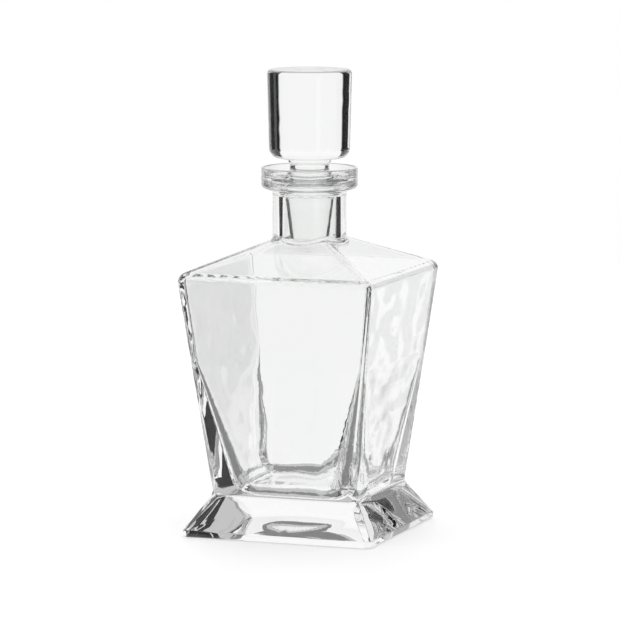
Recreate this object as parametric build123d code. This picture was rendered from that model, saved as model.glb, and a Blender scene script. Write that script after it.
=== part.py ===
"""Square decanter with a tapering body, a flared foot and a lift-out stopper.

Millimetres, +Z up. The origin is the centre of the foot's underside, on the
surface the decanter stands on. Two pieces of clear crystal are made:

    bottle    foot, body, pyramid shoulder, neck and flared lip, hollow inside
    stopper   solid cylindrical knob, waisted stem and tapered plug

The plug and its seat share one taper, so the stopper drops into the neck and
lifts straight out of it.
"""
from build123d import *
import math
import os

# ---- Bottle, outside -------------------------------------------------------
FOOT_WIDTH = 105.6          # across the flats of the foot
FOOT_FACET = 4.2            # width of the narrow facet on each corner of the foot
FOOT_RIM = 3.8              # height of the upright rim under the slope
FOOT_RIM_BEVEL = 0.7        # bevel along the rim's upper edge
FOOT_BOTTOM_EDGE = 0.8      # rounding along the edge of the underside

WAIST_WIDTH = 81.6          # across the flats where the body meets the foot
WAIST_HEIGHT = 21.8
WAIST_FACET = 6.0           # width of the ridge facets at the waist
WAIST_BEVEL = 1.1           # height of each half of the soft bevel between foot and body

SHOULDER_WIDTH = 109.0      # across the flats at the top of the body
SHOULDER_HEIGHT = 139.0
SHOULDER_FACET = 1.6        # width of the ridge facets at the top
PEAK_FACET = 4.0            # and where the pyramid's ridges end inside the neck
SHOULDER_EDGE = 5.0         # rounding along the shoulder line
SHOULDER_SLOPE = 23.2       # degrees, pyramid faces above the horizontal

NECK_WALL = 5.2             # glass around the neck bore
NECK_FLARE = 3.5            # rounding between the neck and the pyramid

LIP_RISE = 54.2             # shoulder line up to the lip's rim
LIP_DROP = 9.0              # upright outer wall of the lip
LIP_UNDERCUT = 5.2          # height taken by the curve from lip wall to neck
LIP_WALL = 1.9              # glass at the rim
LIP_EDGE_SHARE = 0.45       # rim rounding as a share of its glass; a half is a full round
LIP_BOWL = 8.4              # radius of the hollow inside the lip
LIP_STRAIGHT = 0.6          # upright inner wall between that hollow and the rim

# ---- Bottle, inside --------------------------------------------------------
FLOOR_THICKNESS = 20.0      # solid glass under the hollow
FLOOR_ROUND = 13.0          # rounding between the hollow's floor and walls
LOWER_WALL = 8.0            # wall across the flats at the floor
LOWER_INNER_CORNER = 20.8   # the hollow is well rounded at its floor
MIDDLE_HEIGHT = 92.0        # the wall thickens and rounds off below this
MIDDLE_WALL = 2.7
MIDDLE_INNER_CORNER = 2.4
UPPER_WALL = 2.8            # wall across the flats just under the shoulder
UPPER_INNER_CORNER = 2.8    # and nearly square from there to its top
SHOULDER_WALL = 3.2         # glass measured upright under the pyramid
SHOULDER_ROUND = 2.6        # rounding at the hollow's upper edge
BORE_FLARE = 3.0            # rounding where the bore opens into the hollow

PUNT_RADIUS = 36.0          # shallow ground hollow in the underside
PUNT_DEPTH = 1.6

# ---- Ground joint between seat and plug ------------------------------------
SEAT_RADIUS = 13.75         # at the seat's upper edge
SEAT_LENGTH = 6.2
SEAT_TAPER = 0.115          # radius lost for each millimetre downwards
SEAT_LEDGE = 1.55           # flat ring between the seat and the hollow inside the lip
SEAT_RELIEF = 1.363         # the bore below is wider than the seat's lower end by this
JOINT_CLEARANCE = 0.15      # radial gap between seat and plug

# ---- Stopper ---------------------------------------------------------------
KNOB_RADIUS = 22.5          # at its top
KNOB_FOOT_RADIUS = 21.3     # at its bottom
KNOB_HEIGHT = 47.0
KNOB_GAP = 4.8              # lip's rim up to the knob's underside, stopper seated
KNOB_TOP_EDGE = 2.2
KNOB_BOTTOM_EDGE = 5.2
STEM_TOP_RADIUS = 12.8      # where the stem meets the knob
STEM_RADIUS = 10.5          # narrowest place
STEM_DROP = 5.0             # knob's underside down to the narrowest place
PLUG_RISE = 1.5             # plug's shoulder above the seat's upper edge
PLUG_LENGTH = 30.4          # plug's shoulder down to its end
PLUG_EDGE = 0.6

# ---- Places that follow from the sizes above -------------------------------
SEAT_FOOT_RADIUS = SEAT_RADIUS - SEAT_TAPER * SEAT_LENGTH
BORE_RADIUS = SEAT_FOOT_RADIUS + SEAT_RELIEF    # neck bore below the seat
NECK_RADIUS = BORE_RADIUS + NECK_WALL
BOWL_RADIUS = SEAT_RADIUS + SEAT_LEDGE + LIP_BOWL
LIP_RADIUS = BOWL_RADIUS + LIP_WALL
LIP_TOP = SHOULDER_HEIGHT + LIP_RISE
SEAT_TOP = LIP_TOP - LIP_STRAIGHT - LIP_BOWL
SEAT_BOTTOM = SEAT_TOP - SEAT_LENGTH
KNOB_BOTTOM = LIP_TOP + KNOB_GAP
TOTAL_HEIGHT = KNOB_BOTTOM + KNOB_HEIGHT        # floor to the top of the knob


def rounded_square(width, corner, height):
    """A square section with rounded corners, level at the given height."""
    return Pos(0, 0, height) * RectangleRounded(width, width, corner)


def faceted_square(width, facet, height):
    """A square section with its corners cut off by narrow facets."""
    corners = Rectangle(width, width).vertices()
    return Pos(0, 0, height) * chamfer(corners, facet / math.sqrt(2))


def level_edges(solid, height):
    """The edges of a solid that lie level at the given height."""
    level = solid.edges().filter_by(Plane.XY)
    return level.filter_by_position(Axis.Z, height - 0.01, height + 0.01)


def body_width_at(height):
    """Outside width across the flats of the tapering body."""
    share = (height - WAIST_HEIGHT) / (SHOULDER_HEIGHT - WAIST_HEIGHT)
    return WAIST_WIDTH + share * (SHOULDER_WIDTH - WAIST_WIDTH)


def foot_width_at(height):
    """Width across the flats of the foot's slope."""
    top_width = FOOT_WIDTH - FOOT_RIM_BEVEL
    share = (height - FOOT_RIM) / (WAIST_HEIGHT - FOOT_RIM)
    return top_width + share * (WAIST_WIDTH - top_width)


def pyramid_height_at(half_width):
    """Height of the shoulder's sloping faces at a distance from the axis."""
    run = SHOULDER_WIDTH / 2 - half_width
    return SHOULDER_HEIGHT + run * math.tan(math.radians(SHOULDER_SLOPE))


def seat_radius_at(height):
    """Radius of the tapered seat at a height."""
    return SEAT_RADIUS - SEAT_TAPER * (SEAT_TOP - height)


def outer_body():
    """Foot, body and pyramid shoulder, solid, with the shoulder line still sharp.

    The pyramid's cut-off peak lies inside the neck.
    """
    peak_half = NECK_RADIUS / 2
    waist_bottom = WAIST_HEIGHT - WAIST_BEVEL
    waist_top = WAIST_HEIGHT + WAIST_BEVEL
    sections = [
        faceted_square(FOOT_WIDTH, FOOT_FACET, 0),
        faceted_square(FOOT_WIDTH, FOOT_FACET, FOOT_RIM - FOOT_RIM_BEVEL),
        faceted_square(FOOT_WIDTH - FOOT_RIM_BEVEL, FOOT_FACET, FOOT_RIM),
        faceted_square(foot_width_at(waist_bottom), WAIST_FACET, waist_bottom),
        faceted_square(body_width_at(waist_top), WAIST_FACET, waist_top),
        faceted_square(SHOULDER_WIDTH, SHOULDER_FACET, SHOULDER_HEIGHT),
        faceted_square(2 * peak_half, PEAK_FACET, pyramid_height_at(peak_half)),
    ]
    body = loft(sections, ruled=True)
    return fillet(level_edges(body, 0), FOOT_BOTTOM_EDGE)


def turned(outline):
    """A closed outline of (radius, height) curves, turned once around Z."""
    profile = Plane.XZ * make_face(Curve() + outline)
    return revolve(profile, Axis.Z)


def neck_blank():
    """Neck and lip before boring."""
    wall_bottom = LIP_TOP - LIP_DROP
    neck_top = wall_bottom - LIP_UNDERCUT
    middle = ((NECK_RADIUS + LIP_RADIUS) / 2, (wall_bottom + neck_top) / 2)
    return turned([
        Line((0, SHOULDER_HEIGHT), (NECK_RADIUS, SHOULDER_HEIGHT)),
        Line((NECK_RADIUS, SHOULDER_HEIGHT), (NECK_RADIUS, neck_top)),
        TangentArc((NECK_RADIUS, neck_top), middle, tangent=(0, 1)),
        TangentArc((LIP_RADIUS, wall_bottom), middle, tangent=(0, -1)),
        Line((LIP_RADIUS, wall_bottom), (LIP_RADIUS, LIP_TOP)),
        Line((LIP_RADIUS, LIP_TOP), (0, LIP_TOP)),
        Line((0, LIP_TOP), (0, SHOULDER_HEIGHT)),
    ])


def round_joint_edges(solid, radius, low, high):
    """The edges between two heights that lie on a cylinder around Z."""
    def on_cylinder(edge):
        along = [edge @ share for share in (0, 0.5, 1)]
        return all(abs(math.hypot(p.X, p.Y) - radius) < 0.02 for p in along)
    return solid.edges().filter_by_position(Axis.Z, low, high).filter_by(on_cylinder)


def hollow():
    """The space inside the body, from its floor up into the neck bore.

    Its pyramid ends in a throat narrow enough to lie inside the bore.
    """
    upper_half = SHOULDER_WIDTH / 2 - UPPER_WALL
    upper_height = pyramid_height_at(upper_half) - SHOULDER_WALL
    lower_width = body_width_at(FLOOR_THICKNESS) - 2 * LOWER_WALL
    middle_width = body_width_at(MIDDLE_HEIGHT) - 2 * MIDDLE_WALL
    throat_half = BORE_RADIUS / 2
    throat_height = pyramid_height_at(throat_half) - SHOULDER_WALL
    space = loft([
        rounded_square(lower_width, LOWER_INNER_CORNER, FLOOR_THICKNESS),
        rounded_square(middle_width, MIDDLE_INNER_CORNER, MIDDLE_HEIGHT),
        rounded_square(2 * upper_half, UPPER_INNER_CORNER, upper_height),
        rounded_square(2 * throat_half, UPPER_INNER_CORNER, throat_height),
    ], ruled=True)
    space = fillet(level_edges(space, upper_height), SHOULDER_ROUND)
    space = fillet(level_edges(space, FLOOR_THICKNESS), FLOOR_ROUND)
    bore_length = SEAT_BOTTOM - upper_height
    bottom = (Align.CENTER, Align.CENTER, Align.MIN)
    space += Pos(0, 0, upper_height) * Cylinder(BORE_RADIUS, bore_length, align=bottom)
    flare = round_joint_edges(space, BORE_RADIUS, upper_height + 1, pyramid_height_at(0))
    return fillet(flare, BORE_FLARE)


def mouth():
    """The tapered seat and the bowl inside the lip, as one cutting tool."""
    bowl_foot = SEAT_RADIUS + SEAT_LEDGE
    bowl_top = SEAT_TOP + LIP_BOWL
    relief_bottom = SEAT_BOTTOM - SEAT_RELIEF
    above = LIP_TOP + 1
    return turned([
        Line((0, relief_bottom), (BORE_RADIUS, relief_bottom)),
        Line((BORE_RADIUS, relief_bottom), (SEAT_FOOT_RADIUS, SEAT_BOTTOM)),
        Line((SEAT_FOOT_RADIUS, SEAT_BOTTOM), (SEAT_RADIUS, SEAT_TOP)),
        Line((SEAT_RADIUS, SEAT_TOP), (bowl_foot, SEAT_TOP)),
        TangentArc((bowl_foot, SEAT_TOP), (BOWL_RADIUS, bowl_top), tangent=(1, 0)),
        Line((BOWL_RADIUS, bowl_top), (BOWL_RADIUS, above)),
        Line((BOWL_RADIUS, above), (0, above)),
        Line((0, above), (0, relief_bottom)),
    ])


def punt():
    """The shallow dish ground into the underside."""
    sphere = (PUNT_RADIUS ** 2 + PUNT_DEPTH ** 2) / (2 * PUNT_DEPTH)
    return Pos(0, 0, PUNT_DEPTH - sphere) * Sphere(sphere)


def make_bottle():
    blank = outer_body() + neck_blank()
    joint = round_joint_edges(blank, NECK_RADIUS, SHOULDER_HEIGHT + 1, pyramid_height_at(0))
    blank = fillet(joint, NECK_FLARE)
    blank = fillet(level_edges(blank, SHOULDER_HEIGHT), SHOULDER_EDGE)
    glass = blank - hollow() - mouth() - punt()
    return fillet(level_edges(glass, LIP_TOP), LIP_WALL * LIP_EDGE_SHARE)


def make_stopper():
    stem_height = KNOB_BOTTOM - STEM_DROP
    plug_top = SEAT_TOP + PLUG_RISE
    plug_end = plug_top - PLUG_LENGTH
    plug_top_radius = seat_radius_at(plug_top) - JOINT_CLEARANCE
    plug_end_radius = seat_radius_at(plug_end) - JOINT_CLEARANCE
    stopper = turned([
        Line((0, TOTAL_HEIGHT), (KNOB_RADIUS, TOTAL_HEIGHT)),
        Line((KNOB_RADIUS, TOTAL_HEIGHT), (KNOB_FOOT_RADIUS, KNOB_BOTTOM)),
        Line((KNOB_FOOT_RADIUS, KNOB_BOTTOM), (STEM_TOP_RADIUS, KNOB_BOTTOM)),
        TangentArc((STEM_RADIUS, stem_height), (STEM_TOP_RADIUS, KNOB_BOTTOM), tangent=(0, 1)),
        TangentArc((STEM_RADIUS, stem_height), (plug_top_radius, plug_top), tangent=(0, -1)),
        Line((plug_top_radius, plug_top), (plug_end_radius, plug_end)),
        Line((plug_end_radius, plug_end), (0, plug_end)),
        Line((0, plug_end), (0, TOTAL_HEIGHT)),
    ])
    stopper = fillet(level_edges(stopper, TOTAL_HEIGHT), KNOB_TOP_EDGE)
    knob_edges = level_edges(stopper, KNOB_BOTTOM)
    stopper = fillet(knob_edges.sort_by(SortBy.RADIUS)[-1:], KNOB_BOTTOM_EDGE)
    plug_edges = level_edges(stopper, plug_top) + level_edges(stopper, plug_end)
    return fillet(plug_edges, PLUG_EDGE)


os.makedirs("parts", exist_ok=True)
for name, maker in (("bottle", make_bottle), ("stopper", make_stopper)):
    export_step(maker(), f"parts/{name}.step")
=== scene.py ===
import math

import bmesh
import bpy
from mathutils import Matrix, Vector, noise


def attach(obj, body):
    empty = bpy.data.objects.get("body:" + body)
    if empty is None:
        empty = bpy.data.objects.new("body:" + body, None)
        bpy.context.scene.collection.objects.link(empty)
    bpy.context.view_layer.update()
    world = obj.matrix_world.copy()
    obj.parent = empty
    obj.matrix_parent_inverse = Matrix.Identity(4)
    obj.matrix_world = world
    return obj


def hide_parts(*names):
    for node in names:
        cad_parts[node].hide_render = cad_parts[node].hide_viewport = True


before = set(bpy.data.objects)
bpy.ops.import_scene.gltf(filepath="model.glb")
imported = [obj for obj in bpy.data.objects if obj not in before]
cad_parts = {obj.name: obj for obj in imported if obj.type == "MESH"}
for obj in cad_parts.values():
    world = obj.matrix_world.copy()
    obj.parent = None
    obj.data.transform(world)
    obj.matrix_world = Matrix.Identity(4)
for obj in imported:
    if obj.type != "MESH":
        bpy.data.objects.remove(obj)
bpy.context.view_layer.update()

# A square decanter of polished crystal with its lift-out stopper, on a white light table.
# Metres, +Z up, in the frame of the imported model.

# ---- Glass -----------------------------------------------------------------
CRYSTAL_IOR = 1.52
SMOOTH_ANGLE = math.radians(20)     # edges that turn more than this stay crisp
WELD = 2e-6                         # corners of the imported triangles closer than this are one
COOL_CAST = (0.985, 0.996, 0.994, 1)
WARM_CAST = (1.0, 0.999, 0.994, 1)
CAST_SCALE = 26
HAZE_SCALE = 90
HAZE_START = 0.52                   # polishing haze shows where its noise is above this
HAZE_RISE = 0.3
HAZE_ROUGHNESS = 0.035
WAVE_SCALE = 70                     # two sizes of polishing ripple on the skin, and their heights
WAVE_HEIGHT = 0.00002
GRAIN_SCALE = 400
GRAIN_HEIGHT = 0.0000004

# ---- The hollow's blown surface ---------------------------------------------
WAIST_HALF = 0.0408                 # half the body's width, and height, where it meets the foot
WAIST_HEIGHT = 0.0218
SHOULDER_HALF = 0.0545              # half the body's width, and height, at the shoulder line
SHOULDER_HEIGHT = 0.139
HOLLOW_FLOOR = 0.020
SKIN = 0.0013                       # deeper in the glass than this is the hollow's own surface
RIPPLE_CELL = 0.0034                # spacing of the cuts that let the surface ripple
RIPPLE_DEPTH = 0.0003
RIPPLE_MARGIN = 0.012               # the ripple fades out over this near corners and shoulder
RIPPLE_LENGTH = 0.016
RIPPLE_STRETCH = Vector((1.0, 1.0, 1.5))

# ---- Camera ----------------------------------------------------------------
CAMERA_AZIMUTH = math.radians(20.5)
CAMERA_DISTANCE = 2.268
CAMERA_HEIGHT = 0.4045
CAMERA_PITCH = math.radians(7.23)
CAMERA_LENS = 249.7
CAMERA_SHIFT = 0.00077
SENSOR_WIDTH = 36
FAR_CLIP = 30
MOST_BOUNCES = 64                   # light runs far inside the walls before it gets out

# ---- Studio ----------------------------------------------------------------
BACKDROP_RIGHT = math.radians(34)   # half widths of the lit backdrop behind the object
BACKDROP_LEFT = math.radians(39)
FLAG_END = math.radians(98)         # the black flags end here, measured from straight behind
EDGE = math.radians(4)              # softness of a flag's upright edges
FLAG_TOP = math.radians(25)         # a flag is black up to here
FLAG_TOP_EDGE = math.radians(3)
FLAG_VEIL = 0.6                     # and grey above that
TABLE_GLOW = math.radians(-30)      # lower than this the light comes from the table's glow
TABLE_EDGE = math.radians(1)
CANOPY = math.radians(30)           # higher than this it comes from the soft canopy
CANOPY_EDGE = math.radians(6)
BACKDROP_LIGHT = 1.22
TABLE_LIGHT = 0.65
TABLE_SHADE = 0.25                  # what is left of that glow under the flags
CANOPY_LIGHT = 1.1
ROOM_LIGHT = 0.4
SIDE_CARD = math.radians(-69.5)     # a lit card in the left flag, with its lower and upper ends
SIDE_CARD_LOW = math.radians(-24)
SIDE_CARD_HIGH = math.radians(3)
BACK_CARD = math.radians(155.5)     # and one out in the room
BACK_CARD_LOW = math.radians(-30)
BACK_CARD_HIGH = math.radians(-6)
CARD_HALF = math.radians(5)
CARD_EDGE = math.radians(2)
SHEET_HALF_WIDTH = 1.2
SHEET_BEHIND = 1.2
SHEET_BEFORE = 0.9
SHEET_CORNER = 0.06
SHEET_DROP = 0.0003                 # clear of the foot, so the two never share a plane
SHEET_GLOW = 0.4
SHEET_COLOUR = (0.93, 0.93, 0.93, 1)
SHEET_GRAIN_SCALE = 700
SHEET_ROUGHNESS = 0.5               # and up to this much more with the grain
SHEET_GRAIN = 0.1
WHITE = (1, 1, 1, 1)


# ---- Node trees --------------------------------------------------------------
class Tree:
    """A node tree to build in."""

    def __init__(self, owner):
        owner.use_nodes = True
        self.tree = owner.node_tree
        self.tree.nodes.clear()

    def node(self, kind, settings=None, sockets=None):
        """A node of any type, with its settings and then the values or links of its sockets."""
        made = self.tree.nodes.new(kind)
        for name, value in (settings or {}).items():
            setattr(made, name, value)
        for name, value in (sockets or {}).items():
            self.plug(made.inputs[name], value)
        return made

    def plug(self, socket, value):
        if isinstance(value, Number):
            value = value.socket
        if isinstance(value, bpy.types.NodeSocket):
            self.tree.links.new(value, socket)
        else:
            socket.default_value = value


class Number:
    """A number that runs through a node tree. Python's operators add its Math nodes."""

    def __init__(self, tree, socket):
        self.tree = tree
        self.socket = socket

    def math(self, operation, *terms):
        sockets = dict(enumerate((self, *terms)))
        made = self.tree.node("ShaderNodeMath", {"operation": operation}, sockets)
        return Number(self.tree, made.outputs[0])

    def __add__(self, other):
        return self.math("ADD", other)

    def __radd__(self, other):
        return self.math("ADD", other)

    def __sub__(self, other):
        return self.math("SUBTRACT", other)

    def __rsub__(self, other):
        return self.math("MULTIPLY", -1.0).math("ADD", other)

    def __mul__(self, other):
        return self.math("MULTIPLY", other)

    def __rmul__(self, other):
        return self.math("MULTIPLY", other)

    def __neg__(self):
        return self.math("MULTIPLY", -1.0)

    def rise(self, start, width):
        """0 below start, 1 above start + width, and smooth between."""
        sockets = {"Value": self, "From Min": start, "From Max": start + width}
        made = self.tree.node("ShaderNodeMapRange", {"interpolation_type": "SMOOTHSTEP"}, sockets)
        return Number(self.tree, made.outputs[0])


# ---- Crystal -----------------------------------------------------------------
def crystal(name, seed):
    """Clear polished crystal: faint cool and warm cast in the melt, polishing haze and ripple."""
    material = bpy.data.materials.new(name)
    tree = Tree(material)
    place = tree.node("ShaderNodeTexCoord").outputs["Object"]
    moved = tree.node("ShaderNodeMapping", sockets={"Vector": place, "Location": (seed, seed, 0)})

    def mottle(scale, detail):
        sockets = {"Vector": moved.outputs[0], "Scale": scale, "Detail": detail}
        return Number(tree, tree.node("ShaderNodeTexNoise", sockets=sockets).outputs[0])

    cast = tree.node(
        "ShaderNodeMix",
        {"data_type": "RGBA"},
        {"Factor": mottle(CAST_SCALE, 2), 6: COOL_CAST, 7: WARM_CAST},
    )
    haze = mottle(HAZE_SCALE, 4).rise(HAZE_START, HAZE_RISE) * HAZE_ROUGHNESS
    ripple = mottle(WAVE_SCALE, 1) * WAVE_HEIGHT + mottle(GRAIN_SCALE, 2) * GRAIN_HEIGHT
    skin = tree.node("ShaderNodeBump", sockets={"Height": ripple, "Distance": 1.0})
    glass = tree.node(
        "ShaderNodeBsdfPrincipled",
        sockets={
            "Base Color": cast.outputs[2],
            "Roughness": haze,
            "Transmission Weight": 1.0,
            "IOR": CRYSTAL_IOR,
            "Normal": skin.outputs[0],
        },
    )
    tree.node("ShaderNodeOutputMaterial", sockets={"Surface": glass.outputs[0]})
    return material


def light_table():
    """The pale sheet that the decanter stands on, lit a little from below."""
    material = bpy.data.materials.new("light_table")
    tree = Tree(material)
    place = tree.node("ShaderNodeTexCoord").outputs["Object"]
    noise_sockets = {"Vector": place, "Scale": SHEET_GRAIN_SCALE, "Detail": 3}
    grain = tree.node("ShaderNodeTexNoise", sockets=noise_sockets)
    sheet = tree.node(
        "ShaderNodeBsdfPrincipled",
        sockets={
            "Base Color": SHEET_COLOUR,
            "Roughness": Number(tree, grain.outputs[0]) * SHEET_GRAIN + SHEET_ROUGHNESS,
            "Specular IOR Level": 0.2,
            "Emission Color": WHITE,
            "Emission Strength": SHEET_GLOW,
        },
    )
    tree.node("ShaderNodeOutputMaterial", sockets={"Surface": sheet.outputs[0]})
    return material


# ---- Pieces ------------------------------------------------------------------
def welded(node):
    """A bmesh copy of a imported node, its loose triangles joined into one closed skin."""
    skin = bmesh.new()
    skin.from_mesh(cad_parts[node].data)
    bmesh.ops.remove_doubles(skin, verts=skin.verts, dist=WELD)
    bmesh.ops.dissolve_degenerate(skin, edges=skin.edges, dist=WELD)
    return skin


def depth_in_glass(point):
    """How far inside the body's tapering outer faces a point lies."""
    share = max(0.0, (point.z - WAIST_HEIGHT) / (SHOULDER_HEIGHT - WAIST_HEIGHT))
    half = WAIST_HALF + share * (SHOULDER_HALF - WAIST_HALF)
    return half - max(abs(point.x), abs(point.y))


def in_hollow_wall(face):
    """Whether a face is on the hollow's four walls or its rounded floor."""
    points = [vertex.co for vertex in face.verts]
    low = min(point.z for point in points)
    high = max(point.z for point in points)
    deep = min(depth_in_glass(point) for point in points) > SKIN
    return low > HOLLOW_FLOOR - SKIN and high < SHOULDER_HEIGHT and deep


def cut_across(skin, geometry, axis, start, end):
    """Cuts geometry into strips of one cell's width along an axis, and gives what it became."""
    normal = Vector([float(index == axis) for index in range(3)])
    for step in range(int((end - start) / RIPPLE_CELL) + 1):
        at = normal * (start + step * RIPPLE_CELL)
        cut = bmesh.ops.bisect_plane(skin, geom=geometry, dist=WELD, plane_co=at, plane_no=normal)
        geometry = cut["geom"]
    return geometry


def ripple_share(point):
    """1 out on the hollow's flats, falling to 0 at its corners and under the shoulder."""
    from_corner = abs(abs(point.x) - abs(point.y))
    from_shoulder = SHOULDER_HEIGHT - point.z
    return min(1.0, max(0.0, min(from_corner, from_shoulder) / RIPPLE_MARGIN))


def ripple_hollow(skin):
    """Gives the hollow's wall the slow, shallow ripple of a blown surface."""
    wall = [face for face in skin.faces if in_hollow_wall(face)]
    edges = list({edge for face in wall for edge in face.edges})
    vertices = list({vertex for face in wall for vertex in face.verts})
    geometry = vertices + edges + wall
    geometry = cut_across(skin, geometry, 0, -SHOULDER_HALF, SHOULDER_HALF)
    geometry = cut_across(skin, geometry, 1, -SHOULDER_HALF, SHOULDER_HALF)
    geometry = cut_across(skin, geometry, 2, HOLLOW_FLOOR, SHOULDER_HEIGHT)
    skin.normal_update()
    moves = {}
    for vertex in geometry:
        if isinstance(vertex, bmesh.types.BMVert):
            at = Vector([a * b / RIPPLE_LENGTH for a, b in zip(vertex.co, RIPPLE_STRETCH)])
            moves[vertex] = vertex.normal * noise.noise(at) * RIPPLE_DEPTH * ripple_share(vertex.co)
    for vertex, move in moves.items():
        vertex.co += move


def glass_piece(node, shape=None):
    """The finished glass of one body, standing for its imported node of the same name."""
    name = node + "_glass"
    skin = welded(node)
    if shape:
        shape(skin)
    mesh = bpy.data.meshes.new(name)
    skin.to_mesh(mesh)
    skin.free()
    mesh.shade_smooth()
    mesh.set_sharp_from_angle(angle=SMOOTH_ANGLE)
    mesh.materials.append(crystal(name, len(node)))
    piece = bpy.data.objects.new(name, mesh)
    bpy.context.scene.collection.objects.link(piece)
    weighted = piece.modifiers.new("even_shading", "WEIGHTED_NORMAL")
    weighted.keep_sharp = True
    weighted.weight = 100
    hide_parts(node)
    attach(piece, node)


# ---- Stage -------------------------------------------------------------------
def lay_table():
    """A wide pale sheet just under the foot, turned to the camera, with rounded corners.

    Light that has passed through the glass meets the studio's own glow instead of the sheet.
    """
    sheet = bmesh.new()
    bmesh.ops.create_grid(sheet, x_segments=1, y_segments=1, size=1.0)
    length = (SHEET_BEHIND + SHEET_BEFORE) / 2
    bmesh.ops.scale(sheet, vec=(SHEET_HALF_WIDTH, length, 1), verts=sheet.verts)
    corners = list(sheet.verts)
    bmesh.ops.bevel(
        sheet, geom=corners, offset=SHEET_CORNER, offset_type="OFFSET", affect="VERTICES",
        segments=8, profile=0.5, material=-1,
    )
    middle = Vector((0, SHEET_BEHIND - length, -SHEET_DROP))
    bmesh.ops.translate(sheet, vec=middle, verts=sheet.verts)
    mesh = bpy.data.meshes.new("light_table")
    sheet.to_mesh(mesh)
    sheet.free()
    mesh.materials.append(light_table())
    table = bpy.data.objects.new("light_table", mesh)
    table.rotation_euler.z = CAMERA_AZIMUTH
    bpy.context.scene.collection.objects.link(table)
    table.visible_transmission = False


def card(right, height, azimuth, low, high):
    """1 on an upright card that stands at an azimuth, from one elevation to another."""
    beside = (right - azimuth).math("ABSOLUTE").rise(CARD_HALF, CARD_EDGE)
    return (1 - beside) * (height.rise(low, CARD_EDGE) - height.rise(high, CARD_EDGE))


def light_studio():
    """A lit backdrop between two black flags, two lit cards, a canopy above and a glow below."""
    world = bpy.data.worlds.new("studio")
    tree = Tree(world)
    look = tree.node("ShaderNodeTexCoord").outputs["Generated"]
    turn = (0, 0, -CAMERA_AZIMUTH)
    turned = tree.node("ShaderNodeMapping", sockets={"Vector": look, "Rotation": turn})
    split = tree.node("ShaderNodeSeparateXYZ", sockets={"Vector": turned.outputs[0]})
    across, ahead, up = (Number(tree, socket) for socket in split.outputs)
    right = across.math("ARCTAN2", ahead)
    left = -right
    height = up.math("ARCSINE")
    right_flag = right.rise(BACKDROP_RIGHT, EDGE) - right.rise(FLAG_END, EDGE)
    left_flag = left.rise(BACKDROP_LEFT, EDGE) - left.rise(FLAG_END, EDGE)
    flags = right_flag + left_flag
    room = right.math("ABSOLUTE").rise(FLAG_END, EDGE)
    veil = height.rise(FLAG_TOP, FLAG_TOP_EDGE) * FLAG_VEIL
    level = (1 - flags - room) * BACKDROP_LIGHT + flags * veil + room * ROOM_LIGHT
    side_card = card(right, height, SIDE_CARD, SIDE_CARD_LOW, SIDE_CARD_HIGH)
    back_card = card(right, height, BACK_CARD, BACK_CARD_LOW, BACK_CARD_HIGH)
    cards = side_card + back_card
    level = level * (1 - cards) + cards * BACKDROP_LIGHT
    above = height.rise(CANOPY, CANOPY_EDGE)
    below = 1 - height.rise(TABLE_GLOW, TABLE_EDGE)
    table = (1 - flags) * TABLE_LIGHT + flags * TABLE_SHADE
    light = level * (1 - above - below) + above * CANOPY_LIGHT + below * table
    lit = tree.node("ShaderNodeBackground", sockets={"Strength": light})
    seen = tree.node("ShaderNodeBackground", sockets={"Color": WHITE, "Strength": 1.0})
    path = tree.node("ShaderNodeLightPath")
    both = tree.node(
        "ShaderNodeMixShader",
        sockets={0: path.outputs["Is Camera Ray"], 1: lit.outputs[0], 2: seen.outputs[0]},
    )
    tree.node("ShaderNodeOutputWorld", sockets={"Surface": both.outputs[0]})
    bpy.context.scene.world = world


def set_camera():
    camera = bpy.data.objects.new("camera", bpy.data.cameras.new("camera"))
    camera.data.sensor_width = SENSOR_WIDTH
    camera.data.lens = CAMERA_LENS
    camera.data.shift_x = CAMERA_SHIFT
    camera.data.clip_end = FAR_CLIP
    sideways = math.sin(CAMERA_AZIMUTH) * CAMERA_DISTANCE
    back = -math.cos(CAMERA_AZIMUTH) * CAMERA_DISTANCE
    camera.location = (sideways, back, CAMERA_HEIGHT)
    camera.rotation_euler = (math.pi / 2 - CAMERA_PITCH, 0, CAMERA_AZIMUTH)
    bpy.context.scene.collection.objects.link(camera)
    bpy.context.scene.camera = camera


set_camera()
lay_table()
light_studio()
glass_piece("bottle", ripple_hollow)
glass_piece("stopper")

cycles = bpy.context.scene.cycles
cycles.max_bounces = MOST_BOUNCES
cycles.transmission_bounces = MOST_BOUNCES
cycles.glossy_bounces = MOST_BOUNCES
cycles.transparent_max_bounces = 16
bpy.context.scene.view_settings.view_transform = "Standard"
